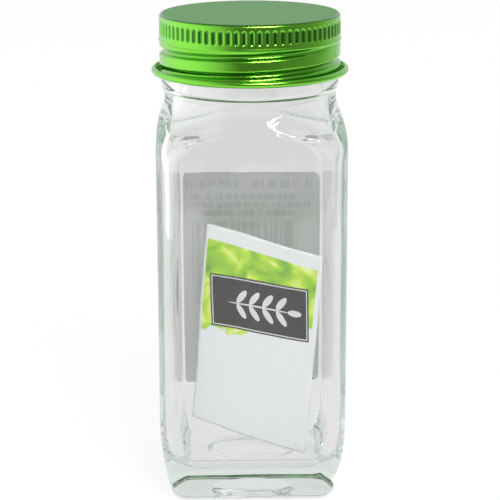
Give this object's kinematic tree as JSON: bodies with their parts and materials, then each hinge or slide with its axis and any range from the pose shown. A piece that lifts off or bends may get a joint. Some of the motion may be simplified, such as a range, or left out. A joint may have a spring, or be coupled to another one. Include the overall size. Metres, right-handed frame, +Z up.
{
  "type": "glass jar",
  "caption": "Square clear glass spice jar with a threaded neck, a screwed aluminium cap with its liner, a paper back label and a loose printed card inside.",
  "frame": {"origin": "on the supporting surface, under the middle of the base", "axes": "+Z up through the mouth and the cap, -Y out of the front face, +Y out of the back face that carries the label"},
  "size_m": [0.0472, 0.0472, 0.1167],
  "materials": {
    "jar_glass": "clear blown soda-lime glass, faintly green in its thick parts",
    "cap_metal": "green anodised, satin top and bright rolled skirt",
    "liner_board": "white board with a smooth film face",
    "label_paper": "matt white paper sticker, grey print",
    "card_board": "white coated card with a green and charcoal print"
  },
  "bodies": {
    "jar": {"glass_jar": "jar_glass", "back_label": "label_paper", "insert_card": "card_board"},
    "liner": {"cap_liner": "liner_board"},
    "cap": {"screw_cap": "cap_metal"}
  },
  "joints": [
    {"name": "cap_lift", "type": "slide", "parent": "jar", "child": "liner", "axis": [0, 0, 1], "range_m": [0, 0.01694]},
    {"name": "cap_turn", "type": "hinge", "parent": "liner", "child": "cap", "pos_m": [0, 0, 0.1167], "axis": [0, 0, 1], "range_deg": [0, 1440]}
  ],
  "couplings": [
    {"joint": "cap_lift", "follows": "cap_turn", "m_per_rad": 0.0006737}
  ]
}
